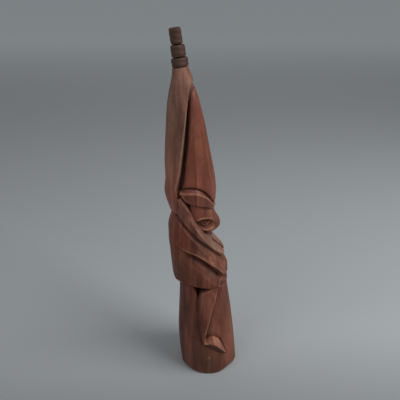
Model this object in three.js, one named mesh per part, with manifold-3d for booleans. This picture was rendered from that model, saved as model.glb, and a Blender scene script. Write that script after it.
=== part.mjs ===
// A crouching hooded figure carved in hardwood, standing on its own log.
//
// Frame: millimetres, +Z up, origin at the middle of the log's foot. The figure faces +X, its right side
// is -Y, and it is the same on both sides of the plane y = 0. It leans a little backwards, as its log grew.
import * as THREE from "three";
import { LoftGeometry } from "three/addons/geometries/LoftGeometry.js";
import { mergeVertices } from "three/addons/utils/BufferGeometryUtils.js";
import Module from "manifold-3d";

const wasm = await Module();
wasm.setup();

// ---- Driving dimensions ----
const GAP = 0.3; // glue line left between neighbouring pieces
const SIDES = [
  ["right", -1],
  ["left", 1],
]; // side name and the sign of its y
const WALL = 200; // longer than the figure is wide, for cutters that pass right through it

const TORSO_BOTTOM = 112; // height of the joint between log and torso
const NECK = 197; // height of the notch between shoulders and headcloth
const FOOT_CHAMFER = 1.2; // broken edge round the foot of the log

// Upright outlines: [height, back x, front x, half depth in y]
const LOG = [
  [0, -33, 33, 33],
  [25, -35, 30.5, 32.8],
  [50, -35.8, 28, 31.6],
  [75, -35, 25, 29.6],
  [95, -33.8, 22, 27.8],
  [112, -33, 20.4, 26.8],
];
const TORSO = [
  [110, -34, 20.4, 26.4],
  [114, -38.2, 21.4, 28],
  [119, -40.4, 21.6, 28.4],
  [130, -42, 19.6, 28],
  [150, -43.2, 13, 26.8],
  [170, -44.6, 4, 25.6],
  [185, -44.4, -4, 23.5],
  [197, -40.5, -10, 18],
];
const HEAD = [
  [179, -30, 6.5, 17],
  [185, -33, 9.6, 20.5],
  [192, -35, 7.2, 21.5],
  [200, -36, 3.8, 22],
  [212, -37, 3, 22.6],
  [232, -38, 2.5, 22.6],
];
const HAT = [
  [200, -39, 7, 21.5],
  [220, -40.5, 6.3, 22.6],
  [245, -41, 4, 21.4],
  [270, -40, -1.6, 19],
  [295, -38.5, -6.8, 16],
  [318, -36.5, -12.6, 11.6],
  [335, -34, -18, 6.6],
  [341, -32, -22, 3.6],
];
const BRIM = [
  [198, -38, 5, 23],
  [207, -39, 6, 24.4],
  [222, -40, 5.4, 25.4],
  [232, -40, 3.5, 23.6],
];
const CLOTH = [
  [197, -41.4, -24, 18],
  [206, -44.2, -14, 21.5],
  [220, -48, -8, 25.2],
  [250, -46.8, 2.5, 24.4],
  [280, -45.2, -3.2, 21.8],
  [300, -43.8, -7.4, 18.8],
  [320, -41.4, -12.6, 14.8],
  [335, -37.8, -17.4, 10.6],
  [348, -36.9, -22, 7.6],
];

// Lines in the side view, [x, z] from back to front
const HAT_RIM = [
  [-60, 227],
  [-34, 228.6],
  [-25, 230.8],
  [-17.7, 231.2],
  [-11.3, 229.5],
  [-5.2, 225],
  [0.9, 216],
  [4.8, 208],
  [12, 196],
];
const BROW = [
  [-60, 232],
  [-33.5, 225],
  [-27.8, 218.5],
  [-18, 213],
  [-11.6, 211],
  [-3, 207],
  [2, 203],
  [12, 199],
];
const CLOTH_EDGE = [
  [-36, 205],
  [-33.5, 234],
  [-30.5, 252],
  [-26.5, 280],
  [-24, 303],
  [-21.5, 321],
  [-16, 336],
];

// Bands that lie round the figure: [degrees from the front, height, radius to the middle, half width across,
// half thickness]; the radius is measured from the torso's or the log's own middle at that height
const TAIL = [
  [144, 216, 17, 7, 6],
  [128, 207, 21.5, 9, 6.5],
  [109, 197.5, 22.8, 9.5, 6.5],
  [88, 186, 22, 8, 6.5],
  [66, 172.5, 23, 6, 6],
  [42, 161.5, 25, 5, 5.4],
  [14, 152.5, 27.6, 4.2, 4.6],
];
const ARM = [
  [164, 176, 14.5, 15, 7],
  [140, 177, 19.2, 16, 8],
  [116, 173.5, 21, 15.5, 8],
  [92, 167, 22, 12, 8],
  [66, 156.5, 23.4, 10.5, 8],
  [38, 142, 24.3, 10, 8],
  [13, 132.5, 23.5, 8.6, 7.5],
];
const LEG = [
  [62, 118, 22.5, 11, 6.5],
  [73, 106, 23.2, 10, 6.5],
  [83, 91, 25, 8.6, 6.3],
  [89, 74, 26.5, 6.8, 6],
  [93, 58, 27.8, 5, 5.2],
  [95, 46, 29, 3.8, 4.4],
  [95, 37, 29.4, 3.2, 3.6],
];
const FOOT = [
  [97, 42, 29, 3.4, 3.4],
  [86, 43, 29.2, 4.6, 4.6],
  [75, 42.5, 29.4, 5.8, 5.2],
  [64, 37.5, 29.8, 5, 4.8],
  [54, 29.5, 30.2, 3.2, 3.8],
  [48, 24, 30.6, 1.8, 2.6],
];

// Finial: turned beads threaded on one peg
const FINIAL_LEAN = Math.atan(0.144); // how far the finial tips backwards
const FINIAL_FOOT = new THREE.Vector3(-29.1, 0, 345.6); // middle of the joint between headcloth and finial
// Each bead: [name, height, greatest radius]
const BEADS = [
  ["bead_lower", 8.6, 8.1],
  ["bead_middle", 11.2, 7.2],
  ["bead_top", 14.8, 6.1],
];
const BEAD_WAIST = 0.8; // radius of a bead's flat ends, as a share of its greatest radius
const BEAD_RINGS = 10;
const PEG_RADIUS = 2.2;
const PEG_DEPTH = 16; // how far the finial's peg goes down into the cloth and hat
const PEG_SHORT = 4; // how far below the top of the last bead the peg stops
const FINIAL_ROOM = [20, 60]; // radius and length of the space that is cut clear for the finial

// Round tenons that stand up inside the next piece: [middle x, low z, high z, radius]
const WAIST_TENON = [-10, TORSO_BOTTOM - 4, 130, 7];
const NECK_TENON = [-22, 172, 194, 4.5];
const CROWN_TENON = [-19, 200, 244, 4];

// ---- Materials ----
const wood = new THREE.MeshStandardMaterial({ color: 0x7a4a35, roughness: 0.55, metalness: 0 });
const redWood = new THREE.MeshStandardMaterial({ color: 0x8a4a34, roughness: 0.5, metalness: 0 });
const greyWood = new THREE.MeshStandardMaterial({ color: 0x7d5b46, roughness: 0.6, metalness: 0 });
const darkWood = new THREE.MeshStandardMaterial({ color: 0x4b302a, roughness: 0.6, metalness: 0 });
const pegWood = new THREE.MeshStandardMaterial({ color: 0xb08a5c, roughness: 0.7, metalness: 0 });

// ---- Tools ----

/** A closed geometry as a manifold solid. */
function solidOf(geometry) {
  const bare = new THREE.BufferGeometry();
  bare.setAttribute("position", geometry.getAttribute("position"));
  bare.setIndex(geometry.index);
  const merged = mergeVertices(bare, 1e-4);
  return new wasm.Manifold(
    new wasm.Mesh({
      numProp: 3,
      vertProperties: merged.attributes.position.array,
      triVerts: new Uint32Array(merged.index.array),
    }),
  );
}

/** The largest body of a solid, so that a sliver left by a cut is dropped. */
function largest(solid) {
  return solid.decompose().sort((a, b) => b.volume() - a.volume())[0];
}

/** A solid as a named mesh. */
function piece(name, solid, material) {
  const made = largest(solid).getMesh();
  const geometry = new THREE.BufferGeometry();
  geometry.setAttribute("position", new THREE.BufferAttribute(new Float32Array(made.vertProperties), 3));
  geometry.setIndex(new THREE.BufferAttribute(new Uint32Array(made.triVerts), 1));
  geometry.computeVertexNormals();
  const mesh = new THREE.Mesh(geometry, material);
  mesh.name = name;
  return mesh;
}

/** Smooth interpolation through rows whose first column is the parameter: returns the other columns. */
function through(rows) {
  const keys = rows.map((row) => row[0]);
  const width = rows[0].length - 1;
  const curve = new THREE.CubicInterpolant(keys, rows.flatMap((row) => row.slice(1)), width);
  return (t) => Array.from(curve.evaluate(THREE.MathUtils.clamp(t, keys[0], keys.at(-1))));
}

/** An upright body of oval sections through an outline, or a part of its height, grown outwards by grow. */
function column(outline, { grow = 0, rings = 9, points = 24, chamfer = 0, from, to } = {}) {
  const at = through(outline);
  from ??= outline[0][0];
  to ??= outline.at(-1)[0];
  const heights = Array.from({ length: rings + 1 }, (_, i) => from + ((to - from) * i) / rings);
  if (chamfer > 0) heights.splice(1, 0, from + chamfer);
  const sections = heights.map((z, ring) => {
    const [back, front, half] = at(z);
    const swell = ring === 0 ? grow - chamfer : grow;
    const middle = (back + front) / 2;
    const long = (front - back) / 2 + swell;
    return Array.from({ length: points }, (_, i) => {
      const angle = (i / points) * 2 * Math.PI;
      return new THREE.Vector3(middle + long * Math.cos(angle), (half + swell) * Math.sin(angle), z);
    });
  });
  return solidOf(new LoftGeometry(sections, { capStart: true, capEnd: true }));
}

/** Half the thickness left at a share t of a band, so that its ends are round over the share end. */
function rounding(t, end) {
  const left = Math.min(t, 1 - t, end) / end;
  return Math.sqrt(Math.max(1 - (1 - left) ** 2, 0.02));
}

/** A band that lies round the figure on one side, through rows like those of TAIL. */
function band(rows, side, { grow = 0, steps = 12, points = 10, end = 0.12, about = TORSO } = {}) {
  const keyed = rows.map((row, i) => [i, ...row]);
  const at = through(keyed);
  const around = through(about);
  const place = (t) => {
    const [degrees, z, radius] = at(t * (rows.length - 1));
    const [back, front] = around(z);
    const angle = THREE.MathUtils.degToRad(degrees);
    const x = (back + front) / 2 + radius * Math.cos(angle);
    return new THREE.Vector3(x, side * radius * Math.sin(angle), z);
  };
  const sections = [];
  for (let i = 0; i <= steps; i++) {
    const t = i / steps;
    const [degrees, , , width, thickness] = at(t * (rows.length - 1));
    const middle = place(t);
    const along = place(Math.min(t + 0.01, 1)).sub(place(Math.max(t - 0.01, 0))).normalize();
    const angle = THREE.MathUtils.degToRad(degrees);
    const out = new THREE.Vector3(Math.cos(angle), side * Math.sin(angle), 0);
    out.addScaledVector(along, -out.dot(along)).normalize();
    const across = new THREE.Vector3().crossVectors(along, out);
    const round = rounding(t, end);
    sections.push(
      Array.from({ length: points }, (_, k) => {
        const turn = (k / points) * 2 * Math.PI;
        return middle
          .clone()
          .addScaledVector(out, (thickness * round + grow) * Math.cos(turn))
          .addScaledVector(across, (width * round + grow) * Math.sin(turn));
      }),
    );
  }
  return solidOf(new LoftGeometry(sections, { capStart: true, capEnd: true }));
}

/** Everything on one side of a line drawn in the side view, right through the figure. */
function sideOf(line, closing, lift = 0) {
  const curve = new THREE.SplineCurve(line.map(([x, z]) => new THREE.Vector2(x, z + lift)));
  const corners = closing.map(([x, z]) => new THREE.Vector2(x, z));
  const shape = new THREE.Shape([...curve.getPoints(14), ...corners]);
  const block = new THREE.ExtrudeGeometry(shape, { depth: WALL, bevelEnabled: false });
  block.rotateX(Math.PI / 2); // the drawing's upward axis becomes z, and its depth runs along -y
  block.translate(0, WALL / 2, 0);
  block.setIndex([...Array(block.getAttribute("position").count).keys()]);
  return solidOf(block);
}

/** Everything below, or above, a line that runs from back to front. */
const below = (line, lift) => sideOf(line, [[WALL, -WALL], [-WALL, -WALL]], lift);
const above = (line, lift) => sideOf(line, [[WALL, 3 * WALL], [-WALL, 3 * WALL]], lift);

/** An upright round rod on the plane of symmetry, as a tenon or, grown, as the hole that it stands in. */
function tenon([x, low, high, radius], grow = 0) {
  const rod = new THREE.CylinderGeometry(radius + grow, radius + grow, high - low + 2 * grow, 16);
  rod.rotateX(Math.PI / 2).translate(x, 0, (low + high) / 2);
  return solidOf(rod);
}

/** Stands a shape made about its own z axis on the finial's leaning axis, lift above the finial's foot. */
function onFinial(geometry, lift) {
  return geometry.translate(0, 0, lift).rotateY(-FINIAL_LEAN).translate(...FINIAL_FOOT.toArray());
}

/** A turned bead: a drum with round edges, drilled from below for the peg. */
function bead([, height, radius], lift) {
  const sections = Array.from({ length: BEAD_RINGS + 1 }, (_, ring) => {
    const turn = (ring / BEAD_RINGS) * Math.PI;
    const reach = radius * (BEAD_WAIST + (1 - BEAD_WAIST) * Math.sqrt(Math.sin(turn)));
    const level = (height * (1 - Math.cos(turn))) / 2;
    return Array.from({ length: 24 }, (_, i) => {
      const angle = (i / 24) * 2 * Math.PI;
      return new THREE.Vector3(reach * Math.cos(angle), reach * Math.sin(angle), level);
    });
  });
  const drum = new LoftGeometry(sections, { capStart: true, capEnd: true });
  return solidOf(onFinial(drum, lift)).subtract(finialPeg(GAP));
}

// ---- The figure ----

const hatSpace = (grow) => column(HAT, { grow, rings: 10 }).subtract(below(HAT_RIM, -grow));
const brimSpace = (grow) =>
  column(BRIM, { grow, rings: 5 })
    .subtract(above(HAT_RIM, grow - GAP))
    .subtract(below(BROW, -grow));
const headSpace = (grow) => column(HEAD, { grow, rings: 7 }).subtract(above(BROW, grow - GAP));
const clothSpace = (grow) => column(CLOTH, { grow, rings: 14, from: NECK - grow });
const tails = (grow) => SIDES.map(([, side]) => band(TAIL, side, { grow }));
const arms = (grow) => SIDES.map(([, side]) => band(ARM, side, { grow }));
const legs = (grow) =>
  SIDES.map(([, side]) =>
    band(LEG, side, { grow, about: LOG, steps: 8 }).add(
      band(FOOT, side, { grow, about: LOG, steps: 7, end: 0.25 }),
    ),
  );

const finialPeg = (grow) => {
  const stack = BEADS.reduce((total, [, height]) => total + height, 0);
  const length = PEG_DEPTH + stack - PEG_SHORT;
  const rod = new THREE.CylinderGeometry(PEG_RADIUS + grow, PEG_RADIUS + grow, length + 2 * grow, 16);
  return solidOf(onFinial(rod.rotateX(Math.PI / 2), length / 2 - PEG_DEPTH));
};
const finialRoom = () => {
  const [radius, length] = FINIAL_ROOM;
  const room = new THREE.CylinderGeometry(radius, radius, length, 24).rotateX(Math.PI / 2);
  return solidOf(onFinial(room, length / 2));
};

/** A solid less every one of the others. */
const less = (solid, others) => others.reduce((left, other) => left.subtract(other), solid);

function log() {
  const body = column(LOG, { rings: 8, points: 32, chamfer: FOOT_CHAMFER, to: TORSO_BOTTOM - GAP });
  return less(body, legs(GAP)).add(tenon(WAIST_TENON));
}

function torso() {
  const body = column(TORSO, { rings: 10, points: 28, from: TORSO_BOTTOM, to: NECK });
  const cuts = [...arms(GAP), ...tails(GAP), headSpace(GAP), tenon(WAIST_TENON, GAP)];
  return less(body, cuts).add(tenon(NECK_TENON));
}

function head() {
  return headSpace(0).subtract(tenon(NECK_TENON, GAP)).add(tenon(CROWN_TENON));
}

function hat() {
  return less(hatSpace(0), [tenon(CROWN_TENON, GAP), finialPeg(GAP)]);
}

function headcloth() {
  const [edgeFoot] = CLOTH_EDGE;
  const opening = sideOf(CLOTH_EDGE, [[WALL, 2 * WALL], [WALL, 0], [edgeFoot[0], 0]]);
  const neighbours = [hatSpace(GAP), brimSpace(GAP), headSpace(GAP)];
  return less(clothSpace(0), [finialRoom(), opening, ...neighbours, finialPeg(GAP)]);
}

const figure = new THREE.Group();
figure.add(piece("log_base", log(), wood));
figure.add(piece("torso", torso(), wood));
const upperPieces = [headSpace(GAP), clothSpace(GAP)];
const joint = below([[-WALL, TORSO_BOTTOM - GAP], [WALL, TORSO_BOTTOM - GAP]]);
const middle = solidOf(new THREE.BoxGeometry(WALL, GAP, 2 * WALL).translate(0, 0, WALL));
SIDES.forEach(([name], i) => {
  const arm = less(arms(0)[i], [...tails(GAP), ...upperPieces, middle]);
  const tail = less(tails(0)[i], [brimSpace(GAP), ...upperPieces, middle]);
  figure.add(piece(`${name}_leg`, legs(0)[i].intersect(joint), wood));
  figure.add(piece(`${name}_arm`, arm, wood));
  figure.add(piece(`${name}_cloth_tail`, tail, greyWood));
});
figure.add(piece("head", head(), wood));
figure.add(piece("hat_brim", brimSpace(0).subtract(tenon(CROWN_TENON, GAP)), wood));
figure.add(piece("hat_cone", hat(), redWood));
figure.add(piece("headcloth", headcloth(), greyWood));

let lift = GAP;
for (const row of BEADS) {
  const [name, height] = row;
  figure.add(piece(name, bead(row, lift), darkWood));
  lift += height + GAP;
}
figure.add(piece("finial_peg", finialPeg(0), pegWood));

export default figure;
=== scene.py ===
"""A carved hooded figure on its log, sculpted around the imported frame.

The whole figure is one carved surface: for each angle round its leaning middle line and each height, RADIUS
says how far out the wood goes. That surface is cut along the carver's lines into one closed piece for each
node of the frame, and the right side's pieces are mirrored to the left. Shapes are in millimetres of the
frame and in degrees from the front, and become metres when a mesh is made.
"""
import functools
import math

import bpy
import numpy as np
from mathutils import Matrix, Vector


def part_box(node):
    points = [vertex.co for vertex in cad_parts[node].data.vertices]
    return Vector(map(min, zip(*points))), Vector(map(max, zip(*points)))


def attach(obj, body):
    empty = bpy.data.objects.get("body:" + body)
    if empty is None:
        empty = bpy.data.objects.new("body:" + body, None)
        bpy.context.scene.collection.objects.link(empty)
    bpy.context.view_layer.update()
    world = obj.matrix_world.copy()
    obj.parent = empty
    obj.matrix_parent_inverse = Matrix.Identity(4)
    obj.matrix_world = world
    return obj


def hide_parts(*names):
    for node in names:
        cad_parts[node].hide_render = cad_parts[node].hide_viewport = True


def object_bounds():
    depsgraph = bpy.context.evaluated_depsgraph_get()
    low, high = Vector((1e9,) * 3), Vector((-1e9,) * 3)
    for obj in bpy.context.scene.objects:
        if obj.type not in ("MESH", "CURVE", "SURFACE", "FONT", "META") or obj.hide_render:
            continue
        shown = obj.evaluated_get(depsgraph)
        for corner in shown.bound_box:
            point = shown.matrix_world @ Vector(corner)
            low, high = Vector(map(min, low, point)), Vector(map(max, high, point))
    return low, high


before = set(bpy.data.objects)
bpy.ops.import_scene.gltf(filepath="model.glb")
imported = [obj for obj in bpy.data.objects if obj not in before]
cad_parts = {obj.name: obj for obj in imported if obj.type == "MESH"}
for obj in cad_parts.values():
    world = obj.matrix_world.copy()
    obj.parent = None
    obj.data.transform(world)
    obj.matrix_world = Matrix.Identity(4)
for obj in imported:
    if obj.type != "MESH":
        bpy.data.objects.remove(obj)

import openvdb
from mathutils import Vector

CAD_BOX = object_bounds()
MM = 0.001
HEIGHT = CAD_BOX[1][2] - CAD_BOX[0][2]  # of the whole figure, in metres


# ---- Where things are, from the frame ----

def low(node, axis):
    """A node's lowest coordinate along axis 0, 1 or 2, in millimetres."""
    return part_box(node)[0][axis] / MM


def high(node, axis):
    """A node's highest coordinate along axis 0, 1 or 2, in millimetres."""
    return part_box(node)[1][axis] / MM


def spot(node):
    """Middle of a node's box, in millimetres."""
    return np.array([(low(node, k) + high(node, k)) / 2 for k in range(3)])


SEAT = low("torso", 2)  # joint between log and torso
HEM = low("headcloth", 2) + 2  # back hem of the headcloth
CLOTH_TOP = high("headcloth", 2)
NECK_OF_FINIAL = low("bead_lower", 2) + 5  # height at which the lean is measured
LEAN = (spot("bead_lower")[0] - 1) / NECK_OF_FINIAL  # forward for each millimetre of height, so below 0


def middle(z):
    """x of the figure's leaning middle line at a height. The line starts at the frame's origin."""
    return LEAN * z


# ---- Curves and easing ----

def through(points, at):
    """Smooth curve through (key, value) points, evaluated at keys."""
    keys, values = (np.array(c, float) for c in zip(*sorted(points)))
    slopes = np.gradient(values, keys)
    at = np.clip(at, keys[0], keys[-1])
    i = np.clip(np.searchsorted(keys, at) - 1, 0, len(keys) - 2)
    span = keys[i + 1] - keys[i]
    t = (at - keys[i]) / span
    return ((1 + 2 * t) * (1 - t) ** 2 * values[i] + t * (1 - t) ** 2 * span * slopes[i]
            + t * t * (3 - 2 * t) * values[i + 1] - t * t * (1 - t) * span * slopes[i + 1])


def ease(t):
    """0 below 0, 1 above 1, smooth between."""
    t = np.clip(t, 0, 1)
    return t * t * (3 - 2 * t)


def blend(a, b, share):
    """a where share is 0, b where it is 1."""
    return a * (1 - share) + b * share


def bands(x, stops, softness=0.45):
    """A value that runs from stop to stop, for stops (place, value) in rising order of place: flat facets
    that meet in ridges at softness 0, smooth swells at 1."""
    place, value = stops[0]
    total = value + 0 * x
    for next_place, next_value in stops[1:]:
        t = np.clip((x - place) / np.maximum(next_place - place, 0.05), 0, 1)
        total = total + (next_value - value) * (softness * ease(t) + (1 - softness) * t)
        place, value = next_place, next_value
    return total


def bump(x, width):
    """1 at x = 0, fading to 0 over about two widths."""
    return np.exp(-(x / width) ** 2)


def blurred(grid, times):
    """A grid smoothed by repeated averaging with its neighbours."""
    for _ in range(times):
        grid = np.pad(grid, 1, mode="edge")
        beside = grid[:-2, 1:-1] + grid[2:, 1:-1] + grid[1:-1, :-2] + grid[1:-1, 2:]
        grid = (2 * grid[1:-1, 1:-1] + beside) / 6
    return grid


# ---- The grid of the carved surface: every half degree and every half millimetre ----
STEP_Z = 0.5
ANGLES = np.linspace(0, 180, 361)
HEIGHTS = np.arange(-6, CLOTH_TOP + 8, STEP_Z)
A = ANGLES[:, None]
Z = HEIGHTS[None, :]
SIDE_ARC = 95  # length of the surface from front to back at mid height, in millimetres


def along_angle(points):
    """Heights of a line that runs round the figure, given as (angle, height) points."""
    return through(points, ANGLES)[:, None]


def along_height(points):
    """Angles of a line that runs up the figure, given as (height, angle) points."""
    return through(points, HEIGHTS)[None, :]


def envelope(rows, pointed=2.0):
    """Radius of an upright form from (height, back, front, side) rows."""
    back, front, side = (through([(row[0], row[k]) for row in rows], HEIGHTS)[None, :] for k in (1, 2, 3))
    turn = np.radians(A)
    reach = np.where(np.cos(turn) > 0, front, back)
    return ((np.abs(np.cos(turn)) / reach) ** pointed + (np.sin(turn) / side) ** pointed) ** (-1 / pointed)


def noise(size_s, size_z, seed):
    """Smooth noise over the surface, from -1 to 1, with its grain's size across and along the figure."""
    source = np.random.default_rng(seed)
    across = max(int(SIDE_ARC / size_s), 3)
    along = int(HEIGHTS.size * STEP_Z / size_z) + 3
    grid = source.uniform(-1, 1, (across + 1, along + 1))
    u = ANGLES / 180 * across
    v = (HEIGHTS - HEIGHTS[0]) / size_z
    i = np.minimum(u.astype(int), across - 1)
    j = np.minimum(v.astype(int), along - 1)
    s = ease(u - i)[:, None]
    t = ease(v - j)[None, :]

    def corner(a, b):
        return grid[np.ix_(i + a, j + b)]

    return ((corner(0, 0) * (1 - s) + corner(1, 0) * s) * (1 - t)
            + (corner(0, 1) * (1 - s) + corner(1, 1) * s) * t)


# ---- Upright forms: rows of (height, reach to the back, reach to the front, reach to the side) ----
LOG = [(-6, 33, 33, 33), (0, 33, 33, 33), (25, 32.9, 32.7, 32.7), (50, 31.6, 32.3, 31.7),
       (73, 28.6, 31.4, 29.8), (95, 25.6, 29.9, 27.9), (106, 24.3, 29.2, 26.8), (125, 24, 28.6, 26)]
TORSO = [(106, 24, 29, 26), (113, 27.6, 29.9, 27.4), (117, 29.4, 30.6, 28), (124, 30.3, 30.9, 28.3),
         (133, 30.6, 30.4, 28.1), (143, 30.6, 28.2, 27.6), (153, 30.3, 25, 27), (163, 30.3, 18.6, 26.2),
         (173, 29.9, 15.4, 25.2), (183, 28.7, 13.4, 23.6), (190, 26.6, 12.4, 22), (197, 24, 12, 20.6),
         (210, 24, 12, 20)]
HEAD = [(172, 18, 14, 15), (176, 18, 20.4, 17.5), (180, 18, 26, 20), (184, 18, 27, 21),
        (188, 18, 26.2, 21.3), (193, 20, 23.5, 21.5), (199, 20, 21.6, 21.6), (206, 20, 21, 21.6),
        (214, 20, 22, 22)]
CONE = [(200, 25, 20.5, 22.6), (209, 25, 23.6, 23.6), (216, 25, 24.8, 24.4), (222, 25, 25.5, 24.7),
        (232, 25, 25.7, 24.5), (245, 24, 24.9, 23.2), (260, 22, 23.2, 21.4), (275, 20, 21.6, 19.4),
        (289, 17, 20.2, 17.4), (305, 13, 17.8, 14.6), (318, 10, 15.6, 12), (327, 8, 13.2, 10),
        (336, 6, 10.6, 8)]
CLOTH = [(190, 24, 20, 22), (198, 24.2, 20, 22), (206, 26.2, 21, 23.6), (213, 27.8, 22, 24.8),
         (221, 28.7, 22, 25.4), (230, 27.6, 22, 25.4), (238, 26.1, 22, 25), (255, 24.6, 21.5, 24),
         (272, 22.1, 20, 22.4), (289, 19.1, 18.5, 20.2), (305, 16.5, 17.2, 17.8), (320, 13, 15, 14.6),
         (330, 9.8, 13, 11.8), (335, 8.2, 12, 10.2), (339, 7.3, 11, 9), (343, 6.7, 9.6, 8),
         (347, 6.2, 8.2, 7.2), (352, 6, 8, 7)]

# ---- Carved lines that run round the figure, lowest line first: (angle, height) ----
# Under the hips and thighs, where the log ends
SEAT_LINE = along_angle([(0, SEAT), (40, SEAT), (67, SEAT + 1), (86, SEAT + 3), (110, SEAT + 5.5),
                         (136, SEAT + 6), (180, SEAT + 1)])
# Upper edge of the thigh, where the groove under the arm begins
LIP = along_angle([(0, 113), (20, 115.5), (39, 119.5), (52, 122), (62, 127), (75, 135.5), (90, 143.5),
                   (109, 151.5), (135, 157), (180, 158)])
# Deepest line of that groove
GROOVE = along_angle([(0, 116.5), (20, 119.5), (37, 125.5), (53, 135), (71, 144), (90, 151.5), (113, 157),
                      (132, 161), (150, 163.5), (180, 164)])
# Lower edge of the arm
ARM_EDGE = along_angle([(0, 120), (20, 123.5), (36, 130), (48, 137.5), (63, 145), (76, 151), (91, 156.2),
                        (118, 161), (132, 164), (150, 167), (180, 168)])
# Highest line of the arm
ARM_RIDGE = along_angle([(0, 134), (25, 138), (48, 147), (70, 157.5), (92, 170.5), (109, 180),
                         (126, 188.5), (145, 192), (180, 193)])
# Lower edge of the cloth tail, and behind it the hem of the headcloth
TAIL_LOW = along_angle([(0, 143.5), (20, 147), (31, 151), (47, 158.5), (61, 164.5), (76, 171.5),
                        (89, 178.5), (106, 186), (122, 192), (137, HEM - 1), (150, HEM + 0.5),
                        (180, HEM)])
# Highest line of the cloth tail
TAIL_RIDGE = along_angle([(0, 147.5), (9, 149), (30, 153.8), (49, 162), (66, 172), (80, 182.5), (91, 191),
                          (105, 200), (120, 209), (180, 222)])
# Upper edge of the cloth tail
TAIL_TOP = along_angle([(0, 158), (20, 166), (50, 175.5), (61, 179), (72, 183.5), (80.5, 189.5),
                        (94, 202), (108, 214.5), (118, 221.5), (125, 224.5), (132, 228), (180, 240)])
# Under the head
CHIN = along_angle([(0, 175), (20, 175.5), (40, 177), (61, 181), (72, 185.5), (80.5, 191.5), (94, 204),
                    (108, 216.3), (118, 223), (125, 225.6), (132, 229), (180, 242)])
# Lower edge of the hat brim
BROW = along_angle([(0, 201), (25, 203), (47, 207), (72, 211), (88, 213), (100, 215), (112, 218.5),
                    (120, 222), (125, 225.4), (132, 230), (180, 242)])
# Sharp outer edge of the brim
RIM = along_angle([(0, 204), (15, 205.5), (29, 209), (38, 213), (51, 219), (66, 223.6), (80, 225.8),
                   (94, 226.2), (107, 225.6), (118, 225), (125, 226), (132, 231), (180, 243)])
# Groove between brim and cone
SEAM = along_angle([(0, 206.5), (12, 208), (34, 216), (54, 225), (69, 229.5), (84, 231.2), (101, 230.8),
                    (112, 229.4), (125, 228.6), (180, 244)])

# ---- Carved lines that run up the figure: (height, angle) ----
# Front edge of the headcloth
CLOTH_EDGE = along_height([(190, 126), (222, 126), (226, 125.6), (231, 124), (244, 115.5), (261, 106),
                           (278, 96.5), (296, 85.5), (310, 75), (317, 68), (325, 55), (331.5, 26.5),
                           (334, 0), (337, -25), (352, -40)])
# Where the cone turns into the groove beside the headcloth
CONE_EDGE = along_height([(190, 121), (222, 121), (226, 117), (232, 107.5), (244, 99), (260, 92),
                          (277, 81.5), (295, 70), (309, 56), (322, 30), (327, 8), (330, -12), (352, -60)])
# Sharp front edge of the shin
SHIN_FRONT = along_height([(40, 91), (46, 91), (56, 88.5), (72, 79.5), (91.5, 67), (101, 58), (112, 48),
                           (117, 42), (123, 34.5), (128, 31)])
# Groove behind the shin
SHIN_BACK = along_height([(36, 98), (47, 99), (66, 102), (86, 101.5), (97, 100.5), (105, 98), (112, 95)])

# ---- Depths, and the places of hole, neck, ankle and eye ----
ARM_GROOVE_DEPTH = 5.4
CLOTH_GROOVE_DEPTH = 5.4
CLOTH_GROOVE_LOW = 221  # heights between which the groove beside the headcloth runs
CLOTH_GROOVE_TIP = 334
HOLE_DEPTH = 9.0
# Lower edge of the dark hole under the thigh
HOLE_LOW = along_angle([(61, SEAT + 3), (66, SEAT - 0.5), (75, SEAT - 2), (84, SEAT - 3.5),
                        (92, SEAT - 5.5), (98, SEAT - 9), (101, SEAT - 11), (104, SEAT - 5),
                        (108, SEAT + 3)])
NECK = 17.0  # radius of the neck in the gap between chin and cloth tail
ANKLE = 41
EYE_DEPTH = 5.4
EYE_ANGLE = 57
EYE_HEIGHT = 189
EYE_MM_PER_DEGREE = 0.39  # how far a degree reaches over the surface of the face
EYE_TILT = -10

# ---- Foot: lines along it, from toe to heel ----
TOE = 47
HEEL = 97
SOLE = along_angle([(46, 23.5), (48.5, 25), (64.5, 31), (78.5, 37), (91, 42), (98, 42.5)])
INSTEP = along_angle([(46, 24), (49, 26), (56.5, 31.5), (66, 38.5), (72.5, 43), (80, 46), (91, 46.5),
                      (98, 47)])
FOOT_TOP = along_angle([(46, 24.5), (50, 27), (53, 34), (57, 41.5), (62, 47.5), (69.5, 51.5), (79.5, 52),
                        (88, 50.5), (98, 49)])


def log_radius():
    """The log with its bark-side facets, the shin and foot in relief on it, and a worn foot."""
    log = envelope(LOG) + 0.35 * noise(9, 70, 11) + 0.16 * noise(4, 26, 12)
    width = SHIN_BACK - SHIN_FRONT
    shin = bands(A, [
        (SHIN_FRONT - 17, 0),
        (SHIN_FRONT - 1.4, -1.8),
        (SHIN_FRONT, 2.5),
        (SHIN_FRONT + 0.15 * width, 2.1),
        (SHIN_FRONT + 0.55 * width, 2.1),
        (SHIN_BACK - 4, 1.5),
        (SHIN_BACK + 1.5, -2.3),
        (SHIN_BACK + 8, -1.4),
        (SHIN_BACK + 24, 0)])
    log = log + shin * ease((Z - ANKLE) / 5)
    foot = bands(Z, [
        (SOLE - 3.5, 0),
        (SOLE - 0.8, -0.7),
        (SOLE + 0.6, 1.8),
        (INSTEP, 3.9),
        (FOOT_TOP - 0.6, 0.4),
        (FOOT_TOP + 0.8, -1.4),
        (FOOT_TOP + 7, 0)])
    foot = foot * ease((A - TOE) / 2.5) * ease((HEEL - A) / 5)
    log = np.where(foot > 0, np.maximum(log, envelope(LOG) + foot), log + foot)
    rounded_edge = 2.0 * (1 - ease((Z + 0.2) / 2.6)) ** 2
    chipped_edge = 3.2 * bump(A - 42, 20) * (1 - ease((Z + 1) / 10))
    return log - (rounded_edge + chipped_edge)


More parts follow.
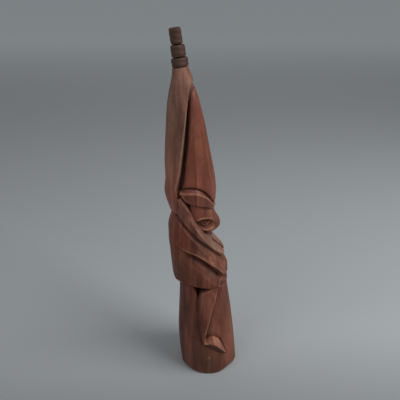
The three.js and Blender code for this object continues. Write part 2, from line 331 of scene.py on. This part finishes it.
def body_relief(torso):
    """Arm, groove and thigh, as stops of height and radius from the seat up to the tail."""
    fade = ease((146 - A) / 34)
    deep = fade * (0.15 + 0.85 * ease((A - 33) / 8))
    arm = ease((172 - A) / 30)
    return [
        (SEAT_LINE, torso - 0.7),
        (SEAT_LINE + 1.6, torso),
        (LIP - 8, torso + 0.5 * fade),
        (LIP, torso - 1.1 * deep),
        (GROOVE, torso - ARM_GROOVE_DEPTH * deep),
        (GROOVE + 0.4 * (ARM_EDGE - GROOVE), torso - (ARM_GROOVE_DEPTH - 1) * deep),
        (ARM_EDGE, torso + 1.6 * arm),
        (ARM_EDGE + 0.45 * (ARM_RIDGE - ARM_EDGE), torso + 0.8 * arm),
        (ARM_RIDGE, torso + 0.9 * arm - 0.2 * arm * ease((A - 80) / 30)),
        (ARM_RIDGE + 0.5 * (TAIL_LOW - ARM_RIDGE), torso - 2.0 * arm)]


def oval(x, y, half_width, half_height):
    """Distance from the middle of an oval: 1 on its edge."""
    return np.hypot(x / half_width, y / half_height)


def head_radius():
    """The bowed head: a wedge with a round nose, a hollowed eye, and a lid and a ball in the hollow."""
    head = envelope(HEAD, 1.9)
    across = (A - EYE_ANGLE) * EYE_MM_PER_DEGREE
    up = Z - EYE_HEIGHT
    tilt = math.radians(EYE_TILT)
    s = across * math.cos(tilt) - up * math.sin(tilt)
    t = across * math.sin(tilt) + up * math.cos(tilt)
    socket = oval(s, t, 11, 5.6)
    lid = oval(across + 2.4, up - 0.1, 5.6, 3.2)
    ball = oval(across + 2.8, up + 0.1, 2.3, 1.8)
    head = head - EYE_DEPTH * ease((1.06 - socket) / 0.36)
    head = head + 0.9 * bump(socket - 1.18, 0.12) * ease(t / 3 + 0.5)
    head = head + 2.1 * bump(lid - 0.9, 0.17) + 3.2 * bump(ball, 0.75)
    behind_cheek = ease((A - 92) / 12) * ease((Z - 195) / 10)
    return head - 4.5 * behind_cheek


def hat_radius(head):
    """Head, brim, seam and cone, from the brow up."""
    cone = envelope(CONE)
    brim = cone + 1.3
    return bands(Z, [
        (BROW - 0.5, head),
        (BROW + 0.6, brim - 0.9),
        (RIM - 0.5, brim),
        (RIM + 0.3, brim + 0.1),
        (RIM + 1.2, brim - 1.3),
        (SEAM - 1.3, cone - 1.7),
        (SEAM - 0.5, cone - 3),
        (SEAM + 0.2, cone - 2.6),
        (SEAM + 1.4, cone - 0.2),
        (SEAM + 5, cone)])


def crown_radius(face, cloth):
    """From the shoulders up: face and hat at the front, headcloth behind, and the groove between them."""
    width = CLOTH_EDGE - CONE_EDGE
    deep = ease((Z - CLOTH_GROOVE_LOW) / 12)
    floor = face - CLOTH_GROOVE_DEPTH * deep * (0.12 + 0.88 * ease((CLOTH_GROOVE_TIP - 5 - Z) / 24))
    rolled = 0.6 * deep * ease((CLOTH_GROOVE_TIP - Z) / 30)
    return bands(A, [
        (CONE_EDGE - 5, face),
        (CONE_EDGE, face - 0.8 * deep),
        (CONE_EDGE + 0.45 * width, floor),
        (CLOTH_EDGE - 0.16 * width, floor),
        (CLOTH_EDGE - 0.3, cloth + 0.2 * rolled),
        (CLOTH_EDGE + 1.6, cloth + 0.7 * rolled),
        (CLOTH_EDGE + 8, cloth + 0.3 * rolled),
        (CLOTH_EDGE + 34, cloth)])


def body_radius(torso, cloth, head, crown):
    """From the seat up: thigh, arm, cloth tail, the gap under the chin, and the crown above it."""
    back = np.maximum(ease((A - 112) / 16), ease((Z - 191) / 14))
    behind = ease((A - 119) / 7)
    tail = blend(torso + 1.3, cloth, back)
    tail_edge = blend(torso - 0.6, cloth - 0.4, back)
    under_tail = torso - 2.1 * (1 - ease((A - 150) / 25)) - 0.4
    gap = blend(blend(NECK, head - 0.8, ease((A - 56) / 10)), crown, behind)
    return bands(Z, body_relief(torso) + [
        (TAIL_LOW - 0.7, under_tail),
        (TAIL_LOW + 0.7, tail),
        (TAIL_RIDGE, tail + 2.1 * (1 - back)),
        (TAIL_TOP - 1.1, tail_edge),
        (TAIL_TOP + 0.5, gap),
        (CHIN - 0.6, gap),
        (CHIN + 1.4, blend(head, crown, behind)),
        (CHIN + 2.2, crown)])


def figure_radius():
    """Radius of the whole carved surface, and the depth of the hole under the thigh."""
    torso = envelope(TORSO) + 0.22 * noise(8, 10, 21)
    cloth = envelope(CLOTH) + 0.45 * noise(11, 60, 31) * ease((A - 100) / 30) + 0.15 * noise(5, 16, 32)
    head = head_radius()
    body = body_radius(torso, cloth, head, crown_radius(hat_radius(head), cloth))
    before_shin = 1 - ease((A - SHIN_FRONT + 1.4) / 1.4)
    body = body - 2.6 * before_shin * ease((A - 11) / 5) * ease((GROOVE - 1 - Z) / 11)
    body = body + 0.8 * bump(A - SHIN_FRONT, 1.6) * ease((GROOVE - 1 - Z) / 3)
    knee = ease((A - SHIN_FRONT + 0.6) / 1.2) * ease((67 - A) / 6)
    is_body = blend(ease((Z - SEAT_LINE + 0.35) / 0.7), ease((Z - SEAT + 11) / 12), knee)
    hole = HOLE_DEPTH * ease((Z - HOLE_LOW) / 3.5) * ease(SEAT_LINE + 0.5 - Z)
    return blend(log_radius(), body, is_body), hole


BROAD = 150  # times to average: over about a finger's width
FINE = 2  # only enough to soften the sharpest edges


def hollowness_and_painted_light(solid, hole):
    """How far each place lies below its surroundings, in millimetres, with painted shade and painted
    highlight added.
    Hollows (above 0) are darkened, and ridges (below 0) are lightened, as wear and as painted highlight
    lines."""
    # Painted light: shade in the groove beside the headcloth, and highlight lines along the brim's outer
    # edge and the shin's front edge
    cloth_groove_shade = (ease((A - CONE_EDGE + 8) / 15) * ease((CLOTH_EDGE + 0.3 - A) / 1.5)
                    * ease((Z - CLOTH_GROOVE_LOW - 3) / 6) * ease((CLOTH_GROOVE_TIP + 2 - Z) / 12))
    rim_highlight = bump(Z - RIM, 0.9) * ease((120 - A) / 6)
    shin_edge_highlight = bump(A - SHIN_FRONT - 0.4, 1.3) * ease((Z - 44) / 4) * ease((130 - Z) / 4)
    below = blurred(solid, BROAD) - blurred(solid, FINE)
    # The hole and cloth groove terms are painted shade, and the brim edge and shin edge terms are painted
    # highlight lines
    return below + 0.5 * hole + 1.6 * cloth_groove_shade - 1.5 * rim_highlight - 1.4 * shin_edge_highlight


SOLID, HOLE = figure_radius()
RADIUS = blurred(SOLID - HOLE, FINE)
# Depth of the carving with painted shade and highlight, which darkens and lightens the wood
HOLLOW_AND_PAINTED_LIGHT = hollowness_and_painted_light(SOLID, HOLE)


def lookup(grid, angle, z):
    """Values of a grid at angles and heights."""
    u = np.clip(angle / ANGLES[1], 0, ANGLES.size - 1.001)
    v = np.clip((z - HEIGHTS[0]) / STEP_Z, 0, HEIGHTS.size - 1.001)
    i, j = u.astype(np.int32), v.astype(np.int32)
    s, t = u - i, v - j
    return ((grid[i, j] * (1 - s) + grid[i + 1, j] * s) * (1 - t)
            + (grid[i, j + 1] * (1 - s) + grid[i + 1, j + 1] * s) * t)


# ---- Colour over the surface ----
# Patches that are lighter, darker, redder or greyer than the rest: angle, height, their reach in degrees
# and in height, and how much of red, green and blue they keep. Some are the wood's own tone, and the marked
# ones are painted light and shade
TONE_AND_LIGHT_PATCHES = [
    # painted light on the headcloth's shaded back, up high
    (130, 322, 55, 30, (1.1, 1.25, 1.25)),
    (125, 222, 34, 22, (1.08, 0.84, 0.8)),
    (88, 192, 22, 14, (1.08, 0.92, 0.9)),
    # painted highlight on the lit tips of the cloth tails
    (24, 158, 24, 11, (1.45, 1.65, 1.75)),
    (118, 172, 28, 15, (0.98, 0.8, 0.78)),
    (64, 160, 20, 8, (1.0, 1.15, 1.2)),
    # painted light along the arm, then two painted highlight spots on its lower ridge
    (48, 142, 24, 9, (1.28, 1.3, 1.36)),
    (68, 151, 20, 8, (1.25, 1.28, 1.3)),
    (62, 151, 3, 2, (1.6, 1.8, 1.9)),
    (57, 145.5, 2.5, 2, (1.7, 1.9, 2.0)),
    # painted light on the brim
    (66, 216, 34, 7, (1.22, 1.22, 1.22)),
    (86, 85, 12, 30, (1.18, 1.25, 1.3)),
    (40, 306, 34, 20, (0.84, 0.74, 0.7)),
    # painted light on the headcloth's shaded back, lower down
    (124, 265, 34, 30, (1.16, 1.16, 1.12)),
    # painted light on the head and brim
    (55, 205, 45, 15, (1.3, 1.3, 1.38)),
    (60, 132, 20, 6, (0.85, 1.0, 1.05)),
    (95, 122, 30, 9, (1.0, 0.88, 0.86)),
    (48, 272, 40, 24, (0.86, 0.84, 0.78)),
    # painted light on the lower cone
    (50, 236, 45, 14, (1.32, 1.34, 1.4)),
    # painted light on the lit front of the log
    (28, 62, 22, 50, (1.12, 1.08, 0.98)),
    (88, 20, 26, 17, (0.66, 0.8, 0.8)),
    (87, 24, 2.4, 1.9, (2.2, 2.4, 2.6)),  # a small pale chip
    # painted shade on the log's back, away from the light
    (128, 60, 22, 60, (0.85, 0.85, 0.87)),
]
# Facets with painted light and shade: lower line, upper line, first and last angle, and what they keep
PAINTED_LIGHT_FACETS = [
    # painted highlight on the foot's lit top, then painted shade on the rest of its top
    (INSTEP, FOOT_TOP, 47, 76, (1.7, 2.1, 2.2)),
    (INSTEP, FOOT_TOP, 74, 97, (0.85, 0.8, 0.8)),
    # painted shade on the foot's shadowed side, from sole to instep
    (SOLE, INSTEP, 46, 97, (0.4, 0.42, 0.42)),
    # painted light on the arm's band, below its ridge
    (ARM_EDGE, ARM_RIDGE - 2, 24, 104, (1.16, 1.24, 1.27)),
]


def facet(low_line, high_line, first, last):
    """1 between two lines and between two angles, fading to 0 over about a millimetre and 3 degrees."""
    return (ease((Z - low_line + 0.5) / 1.2) * ease((high_line + 0.5 - Z) / 1.2)
            * ease((A - first) / 3) * ease((last - A) / 3))


def kept_tone_and_light():
    """Grids of how much red, green and blue the wood keeps over the surface, with painted light and shade
    in them.
    """
    shares = []
    for angle, z, wide, tall, keep in TONE_AND_LIGHT_PATCHES:
        shares.append((bump(A - angle, wide) * bump(Z - z, tall), keep))
    for low_line, high_line, first, last, keep in PAINTED_LIGHT_FACETS:
        shares.append((facet(low_line, high_line, first, last), keep))
    kept = np.ones((3, ANGLES.size, HEIGHTS.size))
    for share, keep in shares:
        kept *= 1 + share * (np.reshape(keep, (3, 1, 1)) - 1)
    return kept


KEPT_TONE_AND_LIGHT = kept_tone_and_light()


def tone_and_painted_light(angle, z):
    """Colour to multiply the wood with, at angles and heights, as rows of red, green, blue and alpha: the
    wood's tone with painted light and shade.
    """
    return np.stack([lookup(grid, angle, z) for grid in KEPT_TONE_AND_LIGHT] + [np.ones(angle.size)], axis=1)


def line_at(line, angle):
    """Heights of a line that runs round the figure, at angles."""
    return np.interp(angle, ANGLES, line[:, 0])


def edge_at(line, z):
    """Angles of a line that runs up the figure, at heights."""
    return np.interp(z, HEIGHTS, line[0])


# ---- Solids, as signed fields in millimetres: negative inside ----
JOINT = 0.03  # half the width of a glue line
PEG_BORE = (high("finial_peg", 1) - low("finial_peg", 1)) / 2 + 0.15  # radius of the hole for the peg
FINIAL_MIDDLE = spot("bead_lower")
FINIAL_AXIS = spot("bead_top") - FINIAL_MIDDLE
FINIAL_AXIS = FINIAL_AXIS / np.linalg.norm(FINIAL_AXIS)
BORE_TOP = (high("finial_peg", 2) + 0.3 - FINIAL_MIDDLE[2]) / FINIAL_AXIS[2]  # above the lowest bead
SLOPE_ALLOWANCE = 0.8  # the surface isn't square to the middle line, so it is nearer than it looks


class Place:
    """Points of space as the carver sees them: angle from the front, height, distance from middle line."""

    def __init__(self, points):
        self.x, self.y, self.z = points
        across = self.x - middle(self.z)
        self.out = np.hypot(across, self.y)
        self.angle = np.degrees(np.arctan2(np.abs(self.y), across))
        self.radius = lookup(RADIUS, self.angle, self.z)
        self.surface = (self.out - self.radius) * SLOPE_ALLOWANCE
        self.arc = np.radians(1) * np.maximum(self.out, 3)  # length of a degree

    def above(self, line):
        """Distance above a line that runs round the figure."""
        return self.z - line_at(line, self.angle)

    def behind(self, line):
        """Distance behind a line that runs up the figure."""
        return (self.angle - edge_at(line, self.z)) * self.arc


def finial(p):
    """Height above the middle of the lowest bead, and distance from the finial's axis."""
    offset = [value - start for value, start in zip((p.x, p.y, p.z), FINIAL_MIDDLE)]
    up = sum(offset[k] * FINIAL_AXIS[k] for k in range(3))
    square = sum((offset[k] - up * FINIAL_AXIS[k]) ** 2 for k in range(3))
    return up, np.sqrt(square)


SPLIT = CONE_EDGE + 0.25 * (CLOTH_EDGE - CONE_EDGE)  # joint between hat and headcloth, down in the groove
CORE = through([(150, 14), (290, 12), (318, 6), (334, 0.1), (340, -2)], HEIGHTS)  # head and hat inside
HEAD_LOW = (TAIL_TOP + CHIN) / 2  # underside of the head, in the gap over the cloth tail
CROWN = 184  # height of the hidden joint between the torso's neck and the head
ARM_DEPTH = 8  # how thick these pieces are, in from the surface
TAIL_DEPTH = 7
LEG_DEPTH = 6
ARM_END = 152  # angle at which the arm runs out on the back
TAIL_END = 124.5  # angle at which the cloth tail meets the headcloth


def all_of(*fields):
    """Where all of the fields are inside."""
    return functools.reduce(np.maximum, fields)


def front(p):
    """Space of head, brim and hat: ahead of the headcloth, and the core behind it."""
    return np.minimum(p.behind(SPLIT), p.out - np.interp(p.z, HEIGHTS, CORE))


def leg_space(p):
    """Space of the shin and foot."""
    shin = all_of(-p.behind(SHIN_FRONT - 1.4), p.behind(SHIN_BACK + 0.9), ANKLE - p.z)
    foot = all_of(-p.above(SOLE - 0.6), p.above(FOOT_TOP + 0.5),
                  (TOE + 0.2 - p.angle) * p.arc, (p.angle - HEEL + 1) * p.arc)
    return all_of(np.minimum(shin, foot), p.radius - LEG_DEPTH - p.out)


def tail_space(p):
    """Space of the cloth tail, which reaches in to 14 mm from the middle line above the shoulder."""
    inside = blend(p.radius - TAIL_DEPTH, 14, ease((p.z - 172) / 12))
    return all_of(-p.above(TAIL_LOW), p.above(HEAD_LOW), inside - p.out, (p.angle - TAIL_END) * p.arc)


def arm_space(p):
    """Space of the arm, from the groove over the thigh up to the cloth tail."""
    return all_of(-p.above(GROOVE), p.above(TAIL_LOW), p.radius - ARM_DEPTH - p.out,
                  (p.angle - ARM_END) * p.arc)


def head_space(p):
    """Space of the head, above a joint that is flat inside and follows the chin outside."""
    floor = blend(CROWN, line_at(HEAD_LOW, p.angle), ease((p.out - 11) / 5))
    return all_of(floor - p.z, p.above(BROW), front(p))


def cloth_space(p):
    """Space of the headcloth, above its hem, behind the hat and the tails."""
    return all_of(-p.above(TAIL_LOW), JOINT - front(p), 2 * JOINT - tail_space(p))


def log_field(p):
    return all_of(p.surface, p.above(SEAT_LINE) + JOINT, -p.z, JOINT - leg_space(p))


def torso_field(p):
    others = np.minimum(np.minimum(tail_space(p), arm_space(p)), np.minimum(head_space(p), cloth_space(p)))
    return all_of(p.surface, JOINT - p.above(SEAT_LINE), JOINT - others, p.z - CROWN - 30)


def right_leg_field(p):
    return all_of(p.surface, leg_space(p) + JOINT, p.above(SEAT_LINE) + JOINT, p.y + JOINT)


def right_arm_field(p):
    return all_of(p.surface, arm_space(p) + JOINT, p.y + JOINT)


def right_cloth_tail_field(p):
    return all_of(p.surface, tail_space(p) + JOINT, p.y + JOINT)


def head_field(p):
    return all_of(p.surface, head_space(p) + JOINT, JOINT - tail_space(p))


def hat_brim_field(p):
    return all_of(p.surface, JOINT - p.above(BROW), p.above(SEAM) + JOINT, front(p) + JOINT,
                  JOINT - tail_space(p))


def hat_cone_field(p):
    return all_of(p.surface, JOINT - p.above(SEAM), front(p) + JOINT, JOINT + PEG_BORE - finial(p)[1])


def headcloth_field(p):
    up, out = finial(p)
    above_top = up + (high("bead_lower", 2) - low("bead_lower", 2)) / 2 - 0.6
    return all_of(p.surface, cloth_space(p) + JOINT, above_top, JOINT + PEG_BORE - out)


BEAD_SQUARENESS = 8  # 2 would be an egg, and more is closer to a drum


def bead_field(node, lump):
    """The field of a turned bead with a rounded edge, made uneven by lump."""
    tilt = math.acos(FINIAL_AXIS[2])
    radius = (high(node, 1) - low(node, 1)) / 2
    half = ((high(node, 2) - low(node, 2)) / 2 - radius * math.sin(tilt)) / math.cos(tilt)
    level = float((spot(node) - FINIAL_MIDDLE) @ FINIAL_AXIS)

    def field(p):
        up, out = finial(p)
        turn = np.arctan2(p.y, p.x - middle(p.z))
        uneven = (np.sin(2 * turn + level) + 0.6 * np.sin(3 * turn + 2 * level)
                  + 0.5 * np.cos(p.z * 1.3 + turn))
        across = out / (radius + lump * uneven - 0.2)
        along = np.abs(up - level) / (half + 0.12)
        size = (across ** BEAD_SQUARENESS + along ** BEAD_SQUARENESS) ** (1 / BEAD_SQUARENESS)
        return all_of((size - 1) * half, np.minimum(JOINT + PEG_BORE - out, BORE_TOP - up))

    return field


# ---- Meshes ----
OUTSIDE = 3.0  # the field's value far from a piece
MARGIN = 4.0  # space searched round a node's box


def carved_mesh(field, node, step):
    """A closed mesh of the field over the box of the node that it stands for: points, triangles, quads."""
    start = np.array([low(node, k) - MARGIN for k in range(3)])
    stop = np.array([high(node, k) + MARGIN for k in range(3)])
    start[2] = max(start[2], -3 * step)
    axes = [np.arange(start[k], stop[k], step) for k in range(3)]
    values = np.full([a.size for a in axes], OUTSIDE, np.float32)
    y, z = np.meshgrid(axes[1], axes[2], indexing="ij")
    for i, x in enumerate(axes[0]):
        values[i] = np.clip(field(Place((np.full_like(y, x), y, z))), -OUTSIDE, OUTSIDE)
    for end in (0, -1):
        values[end] = values[:, end] = values[:, :, end] = OUTSIDE
    grid = openvdb.FloatGrid(OUTSIDE)
    grid.copyFromArray(values)
    points, triangles, quads = grid.convertToPolygons(isovalue=0.0, adaptivity=0.0)
    points = settled(start + points.astype(float) * step, field, step)
    triangles, quads = outward(points, triangles, quads)
    return points, triangles, quads


def settled(points, field, step):
    """Points moved onto the field's zero surface, in three short steps down its slope."""
    reach = 0.12  # half the length over which the slope is measured
    longest = 0.35 * step
    for _ in range(3):
        slope = np.empty_like(points)
        for k in range(3):
            shift = np.zeros(3)
            shift[k] = reach
            rise = field(Place((points + shift).T)) - field(Place((points - shift).T))
            slope[:, k] = rise / (2 * reach)
        value = field(Place(points.T))
        move = -value[:, None] * slope / np.maximum((slope ** 2).sum(1), 0.2)[:, None]
        size = np.linalg.norm(move, axis=1, keepdims=True)
        points = points + move * np.minimum(1, longest / np.maximum(size, 1e-9))
    return points


def outward(points, triangles, quads):
    """Faces turned so that the mesh's volume is positive."""
    fan = np.vstack([triangles, quads[:, [0, 1, 2]], quads[:, [0, 2, 3]]])
    a, b, c = (points[fan[:, k]] for k in range(3))
    if np.einsum("ij,ij->i", a, np.cross(b, c)).sum() < 0:
        return triangles[:, ::-1], quads[:, ::-1]
    return triangles, quads


def paint_mesh(mesh, points):
    """Depth of the carving with its painted shade and highlight, and the tone with its painted light, on
    the vertices. Only the carved surface has depth, not the joints.
    """
    place = Place(points.T)
    carved = np.abs(place.surface) < 0.6
    depth = np.where(carved, lookup(HOLLOW_AND_PAINTED_LIGHT, place.angle, place.z), 0)
    hollow = mesh.attributes.new("hollow", "FLOAT", "POINT")
    hollow.data.foreach_set("value", depth.astype(np.float32))
    colour = mesh.attributes.new("tone_and_painted_light", "FLOAT_COLOR", "POINT")
    colour.data.foreach_set("color", tone_and_painted_light(place.angle, place.z).ravel().astype(np.float32))


def add_piece(node, points, triangles, quads, slot):
    """The mesh as a smooth-shaded piece that stands for a node."""
    name = "carved_" + node
    mesh = bpy.data.meshes.new(name)
    mesh.from_pydata((points * MM).tolist(), [], triangles.tolist() + quads.tolist())
    mesh.validate()
    paint_mesh(mesh, points)
    mesh.shade_smooth()
    piece = bpy.data.objects.new(name, mesh)
    bpy.context.collection.objects.link(piece)
    piece.data.materials.append(WOODS[slot])
    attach(piece, "root")
    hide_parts(node)


# ---- Materials ----

class Recipe:
    """A node material, with short ways to add its nodes."""

    def __init__(self, name):
        self.material = bpy.data.materials.new(name)
        self.material.use_nodes = True
        self.nodes = self.material.node_tree.nodes
        self.links = self.material.node_tree.links
        self.shader = self.nodes["Principled BSDF"]

    def feed(self, socket, value):
        """Joins a socket to another node's output, or sets it to a colour or a number."""
        if isinstance(value, bpy.types.NodeSocket):
            self.links.new(value, socket)
        elif isinstance(value, tuple):
            socket.default_value = (*value, 1)
        else:
            socket.default_value = value

    def position(self):
        return self.nodes.new("ShaderNodeTexCoord").outputs["Object"]

    def attribute(self, name, output):
        made = self.nodes.new("ShaderNodeAttribute")
        made.attribute_name = name
        return made.outputs[output]

    def noise(self, per_metre, detail, roughness, distortion=0.0):
        """Noise from 0 to 1, with its own number of grains per metre along x, y and z."""
        mapping = self.nodes.new("ShaderNodeMapping")
        mapping.inputs["Scale"].default_value = per_metre
        self.links.new(self.position(), mapping.inputs["Vector"])
        made = self.nodes.new("ShaderNodeTexNoise")
        self.links.new(mapping.outputs["Vector"], made.inputs["Vector"])
        for key, value in (("Scale", 1), ("Detail", detail), ("Roughness", roughness),
                           ("Distortion", distortion)):
            made.inputs[key].default_value = value
        return made.outputs["Fac"]

    def ramp(self, source, dark_at, dark, light_at, light):
        """Colour that goes from dark to light as the source rises."""
        made = self.nodes.new("ShaderNodeValToRGB")
        for element, place, colour in zip(made.color_ramp.elements, (dark_at, light_at), (dark, light)):
            element.position = place
            element.color = (*colour, 1)
        self.links.new(source, made.inputs["Fac"])
        return made.outputs["Color"]

    def mix(self, kind, factor, a, b):
        made = self.nodes.new("ShaderNodeMix")
        made.data_type = "RGBA"
        made.blend_type = kind
        for index, value in ((0, factor), (6, a), (7, b)):  # factor, and the two colours
            self.feed(made.inputs[index], value)
        return made.outputs[2]

    def mapped(self, source, from_range, to_range):
        """The source eased from one range to another, and held at the ends."""
        made = self.nodes.new("ShaderNodeMapRange")
        made.interpolation_type = "SMOOTHSTEP"
        for key, value in zip(("From Min", "From Max", "To Min", "To Max"), (*from_range, *to_range)):
            made.inputs[key].default_value = value
        self.links.new(source, made.inputs["Value"])
        return made.outputs["Result"]

    def maths(self, operation, a, b):
        made = self.nodes.new("ShaderNodeMath")
        made.operation = operation
        self.links.new(a, made.inputs[0])
        self.links.new(b, made.inputs[1])
        return made.outputs[0]

    def grey(self, value):
        """A colour whose red, green and blue are all the value."""
        made = self.nodes.new("ShaderNodeCombineColor")
        for key in ("Red", "Green", "Blue"):
            self.links.new(value, made.inputs[key])
        return made.outputs["Color"]

    def bump(self, height, strength, distance):
        made = self.nodes.new("ShaderNodeBump")
        made.inputs["Strength"].default_value = strength
        made.inputs["Distance"].default_value = distance
        self.links.new(height, made.inputs["Height"])
        return made.outputs["Normal"]


PORE_DARKNESS = 0.45  # colour of a pore, as a share of the dark grain
GRAIN_DEPTH = 0.0004  # metres


def wood(name, dark, light, hollow_shade, worn_and_highlight, rough):
    """Open-grained hardwood: streaks and pores along the log, darker in the hollows with painted shade, and
    lighter on the ridges from wear and painted highlight.
    """
    recipe = Recipe(name)
    streaks = recipe.noise((110, 110, 9), 6, 0.62, 0.6)
    clouds = recipe.noise((38, 38, 17), 3, 0.5)
    pores = recipe.noise((1500, 1500, 90), 2, 0.5)
    rub = recipe.noise((260, 260, 200), 4, 0.6)
    hollow = recipe.attribute("hollow", "Fac")

    cloudy = recipe.grey(recipe.mapped(clouds, (0.35, 0.7), (0.78, 1.18)))
    colour = recipe.mix("MULTIPLY", 1.0, recipe.ramp(streaks, 0.34, dark, 0.66, light), cloudy)
    is_pore = recipe.mapped(pores, (0.60, 0.70), (0.0, 0.55))
    colour = recipe.mix("MIX", is_pore, colour, tuple(PORE_DARKNESS * c for c in dark))
    # Tone patches of the wood, with painted light and painted shade
    colour = recipe.mix("MULTIPLY", 1.0, colour, recipe.attribute("tone_and_painted_light", "Color"))
    # Painted shade: the wood is darkened in the hollows, deepest in the hole under the thigh and the groove
    # beside the headcloth
    colour = recipe.mix("MIX", recipe.mapped(hollow, (0.4, 2.9), (0.0, 0.88)), colour, hollow_shade)
    # Lighter on the ridges: wear, and painted highlight lines along the brim's outer edge and the shin's
    # front edge
    on_ridge = recipe.mapped(hollow, (-0.6, -2.1), (0.0, 0.75))
    rubbed = recipe.mapped(rub, (0.3, 0.6), (0.35, 1.0))
    colour = recipe.mix("MIX", recipe.maths("MULTIPLY", on_ridge, rubbed), colour, worn_and_highlight)

    shader = recipe.shader
    recipe.feed(shader.inputs["Base Color"], colour)
    recipe.feed(shader.inputs["Roughness"], recipe.mapped(rub, (0.3, 0.7), (rough - 0.08, rough + 0.1)))
    recipe.feed(shader.inputs["IOR"], 1.5)
    recipe.feed(shader.inputs["Specular IOR Level"], 0.25)
    grain = recipe.bump(recipe.maths("SUBTRACT", streaks, is_pore), 0.35, GRAIN_DEPTH)
    recipe.feed(shader.inputs["Normal"], grain)
    return recipe.material


WOODS = {
    "body_wood": wood("body_wood", dark=(0.1, 0.031, 0.02), light=(0.245, 0.084, 0.05),
                      hollow_shade=(0.03, 0.015, 0.01), worn_and_highlight=(0.40, 0.18, 0.11), rough=0.5),
    "hat_wood": wood("hat_wood", dark=(0.14, 0.041, 0.025), light=(0.275, 0.09, 0.056),
                     hollow_shade=(0.03, 0.013, 0.009), worn_and_highlight=(0.36, 0.14, 0.09), rough=0.42),
    "cloth_wood": wood("cloth_wood", dark=(0.15, 0.06, 0.042), light=(0.3, 0.138, 0.097),
                       hollow_shade=(0.032, 0.016, 0.011), worn_and_highlight=(0.36, 0.2, 0.13), rough=0.55),
    "bead_wood": wood("bead_wood", dark=(0.042, 0.02, 0.014), light=(0.12, 0.062, 0.044),
                      hollow_shade=(0.015, 0.008, 0.006), worn_and_highlight=(0.14, 0.08, 0.06), rough=0.6),
    "peg_wood": wood("peg_wood", dark=(0.36, 0.23, 0.12), light=(0.5, 0.34, 0.19),
                     hollow_shade=(0.3, 0.2, 0.1), worn_and_highlight=(0.5, 0.35, 0.2), rough=0.6),
}


# ---- Pieces ----
STEP = 0.55  # size of a mesh's faces
LOG_STEP = 0.65
BEAD_STEP = 0.4
PIECES = [  # node, its field, its material slot and its mesh step; a right piece also makes the left one
    ("log_base", log_field, "body_wood", LOG_STEP),
    ("torso", torso_field, "body_wood", STEP),
    ("head", head_field, "body_wood", STEP),
    ("hat_brim", hat_brim_field, "body_wood", STEP),
    ("hat_cone", hat_cone_field, "hat_wood", STEP),
    ("headcloth", headcloth_field, "cloth_wood", STEP),
    ("right_leg", right_leg_field, "body_wood", STEP),
    ("right_arm", right_arm_field, "body_wood", STEP),
    ("right_cloth_tail", right_cloth_tail_field, "cloth_wood", STEP),
    ("bead_lower", bead_field("bead_lower", 0.22), "bead_wood", BEAD_STEP),
    ("bead_middle", bead_field("bead_middle", 0.2), "bead_wood", BEAD_STEP),
    ("bead_top", bead_field("bead_top", 0.25), "bead_wood", BEAD_STEP),
]
MIRROR = np.array([1, -1, 1])


def add_pieces():
    for node, field, slot, step in PIECES:
        points, triangles, quads = carved_mesh(field, node, step)
        add_piece(node, points, triangles, quads, slot)
        if node.startswith("right_"):
            twin = node.replace("right_", "left_")
            add_piece(twin, points * MIRROR, triangles[:, ::-1], quads[:, ::-1], slot)


def paint_peg():
    """The finial's peg keeps its CAD solid, with the wood of a plain dowel."""
    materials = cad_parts["finial_peg"].data.materials
    materials.clear()
    materials.append(WOODS["peg_wood"])


# ---- Floor, light and camera ----
TARGET = Vector((0, 0, HEIGHT / 2))
FLOOR_HALF = 200 * HEIGHT
FLOOR_COLOUR = (0.5, 0.53, 0.545)
WORLD_COLOUR = (0.72, 0.74, 0.76)


def floor_material():
    """Matt grey paper, with painted shade darkening it in front of the figure and painted light lightening
    it far behind it.
    """
    recipe = Recipe("floor_grey")
    split = recipe.nodes.new("ShaderNodeSeparateXYZ")
    recipe.links.new(recipe.position(), split.inputs["Vector"])
    depth = split.outputs["Y"]
    # painted shade near the front, and painted light far behind
    near = recipe.mapped(depth, (-0.12, 0.06), (0.68, 1.06))
    far = recipe.mapped(depth, (0.9, 4.0), (0.9, 1.65))
    scaled = recipe.nodes.new("ShaderNodeVectorMath")
    scaled.operation = "SCALE"
    scaled.inputs[0].default_value = FLOOR_COLOUR
    recipe.links.new(recipe.maths("MULTIPLY", near, far), scaled.inputs["Scale"])
    recipe.feed(recipe.shader.inputs["Base Color"], scaled.outputs[0])
    recipe.feed(recipe.shader.inputs["Roughness"], 0.85)
    return recipe.material


def add_floor():
    mesh = bpy.data.meshes.new("floor")
    corners = [(x * FLOOR_HALF, y * FLOOR_HALF, 0) for x, y in ((-1, -1), (1, -1), (1, 1), (-1, 1))]
    mesh.from_pydata(corners, [], [(0, 1, 2, 3)])
    floor = bpy.data.objects.new("floor", mesh)
    bpy.context.collection.objects.link(floor)
    floor.data.materials.append(floor_material())


def add_light(name, place, size, power):
    """An area light aimed at the figure. Its place and size are in figure heights."""
    data = bpy.data.lights.new(name, "AREA")
    data.size = size * HEIGHT
    data.energy = power
    light = bpy.data.objects.new(name, data)
    light.location = TARGET + Vector(place) * HEIGHT
    light.rotation_mode = "QUATERNION"
    light.rotation_quaternion = (TARGET - light.location).to_track_quat("-Z", "Y")
    bpy.context.collection.objects.link(light)


def add_world():
    """A soft grey sky all round."""
    world = bpy.data.worlds.new("world")
    world.use_nodes = True
    sky = world.node_tree.nodes["Background"]
    sky.inputs["Color"].default_value = (*WORLD_COLOUR, 1)
    sky.inputs["Strength"].default_value = 0.32
    bpy.context.scene.world = world


def add_camera():
    """The photographer's view: the figure's right side, from 24 degrees above."""
    data = bpy.data.cameras.new("camera")
    data.lens = 42.75
    data.sensor_width = 36
    camera = bpy.data.objects.new("camera", data)
    camera.location = (-0.0108, -0.4586, 0.4129)
    camera.rotation_euler = (math.radians(90 - 24), 0, 0)
    bpy.context.collection.objects.link(camera)
    bpy.context.scene.camera = camera


add_pieces()
paint_peg()
add_floor()
add_light("key", (2.2, -0.9, 2.2), 2.0, 10.0)
add_light("fill", (-2.0, -2.2, 1.8), 2.5, 3.2)
add_world()
add_camera()
bpy.context.scene.view_settings.view_transform = "Standard"
